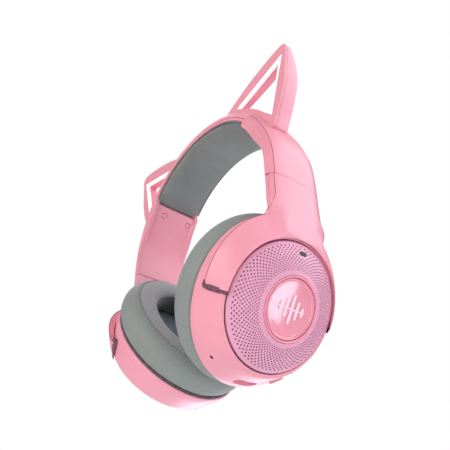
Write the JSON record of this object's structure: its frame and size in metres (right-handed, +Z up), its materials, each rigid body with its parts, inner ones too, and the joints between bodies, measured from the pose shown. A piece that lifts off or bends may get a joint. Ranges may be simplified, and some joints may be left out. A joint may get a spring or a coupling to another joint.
{
  "type": "gaming headset",
  "caption": "Wireless over-ear headset: padded headband with cat ears, sliding arms, crescent yokes, tilting oval cups with round grilles and thick ear cushions.",
  "frame": {"origin": "middle of the headband pad's underside, where it rests on the top of the wearer's head", "axes": "+Z up, from the cups to the headband; -Y towards the wearer's front, the side of the cat ears' lights; +X towards the wearer's left"},
  "size_m": [0.1876, 0.0958, 0.2189],
  "materials": {
    "shell_pink": "satin moulded plastic, light pink",
    "inner_pink": "satin moulded plastic, slightly deeper pink",
    "grille_pink": "fine perforated plastic, mauve pink",
    "gloss_pink": "polished pink plastic",
    "light_diffuser": "milky white light diffuser",
    "cushion_leatherette": "soft grey imitation leather over foam",
    "pad_leatherette": "soft grey imitation leather over foam",
    "speaker_scrim": "thin grey-blue mesh cloth",
    "steel": "brushed",
    "dark_plastic": "dark moulded plastic",
    "circuit_board": "solder mask",
    "guide_plastic": "low-friction white plastic",
    "battery_foil": "foil wrap"
  },
  "bodies": {
    "headband": {"headband_outer_shell": "shell_pink", "headband_pad_carrier": "inner_pink", "headband_pad": "pad_leatherette", "headband_spring_band": "steel", "left_arm_cover": "inner_pink", "left_slider_guide": "guide_plastic", "left_cover_screw_front": "inner_pink", "left_cover_screw_rear": "inner_pink", "left_ear_front_frame": "inner_pink", "left_ear_back_cover": "shell_pink", "left_ear_light": "light_diffuser", "left_ear_led_board": "circuit_board", "right_arm_cover": "inner_pink", "right_slider_guide": "guide_plastic", "right_cover_screw_front": "inner_pink", "right_cover_screw_rear": "inner_pink", "right_ear_front_frame": "inner_pink", "right_ear_back_cover": "shell_pink", "right_ear_light": "light_diffuser", "right_ear_led_board": "circuit_board"},
    "left_arm": {"left_yoke": "shell_pink", "left_yoke_cover": "inner_pink", "left_slider_plate": "steel", "left_pivot_pin_front": "steel", "left_pivot_pin_rear": "steel"},
    "right_arm": {"right_yoke": "shell_pink", "right_yoke_cover": "inner_pink", "right_slider_plate": "steel", "right_pivot_pin_front": "steel", "right_pivot_pin_rear": "steel"},
    "left_cup": {"left_cup_shell": "shell_pink", "left_grille": "grille_pink", "left_cap_trim_ring": "gloss_pink", "left_centre_cap": "gloss_pink", "left_cap_emblem": "light_diffuser", "left_baffle": "dark_plastic", "left_speaker_driver": "dark_plastic", "left_cushion_ring": "dark_plastic", "left_speaker_scrim": "speaker_scrim", "left_ear_cushion": "cushion_leatherette", "left_main_board": "circuit_board", "charging_port": "steel", "microphone": "steel", "status_window": "dark_plastic"},
    "right_cup": {"right_cup_shell": "shell_pink", "right_grille": "grille_pink", "right_cap_trim_ring": "gloss_pink", "right_centre_cap": "gloss_pink", "right_cap_emblem": "light_diffuser", "right_baffle": "dark_plastic", "right_speaker_driver": "dark_plastic", "right_cushion_ring": "dark_plastic", "right_speaker_scrim": "speaker_scrim", "right_ear_cushion": "cushion_leatherette", "battery": "battery_foil"},
    "power_button": {"power_button": "inner_pink"},
    "volume_up_button": {"volume_up_button": "inner_pink"},
    "volume_down_button": {"volume_down_button": "inner_pink"}
  },
  "joints": [
    {"name": "left_slider", "type": "slide", "parent": "headband", "child": "left_arm", "axis": [0, 0, -1], "range_m": [0, 0.022]},
    {"name": "right_slider", "type": "slide", "parent": "headband", "child": "right_arm", "axis": [0, 0, -1], "range_m": [0, 0.022]},
    {"name": "left_cup_tilt", "type": "hinge", "parent": "left_arm", "child": "left_cup", "pos_m": [0.05052, 0, -0.14978], "axis": [0, -1, 0], "range_deg": [0, 10]},
    {"name": "right_cup_tilt", "type": "hinge", "parent": "right_arm", "child": "right_cup", "pos_m": [-0.05052, 0, -0.14978], "axis": [0, 1, 0], "range_deg": [0, 10]},
    {"name": "power_press", "type": "slide", "parent": "left_cup", "child": "power_button", "axis": [0.0095, -0.4521, 0.8919], "range_m": [0, 0.0008], "stiffness_N_per_m": 1500},
    {"name": "volume_up_press", "type": "slide", "parent": "left_cup", "child": "volume_up_button", "axis": [-0.0151, -0.6805, 0.7326], "range_m": [0, 0.0008], "stiffness_N_per_m": 1500},
    {"name": "volume_down_press", "type": "slide", "parent": "left_cup", "child": "volume_down_button", "axis": [-0.0536, -0.8175, 0.5735], "range_m": [0, 0.0008], "stiffness_N_per_m": 1500}
  ]
}
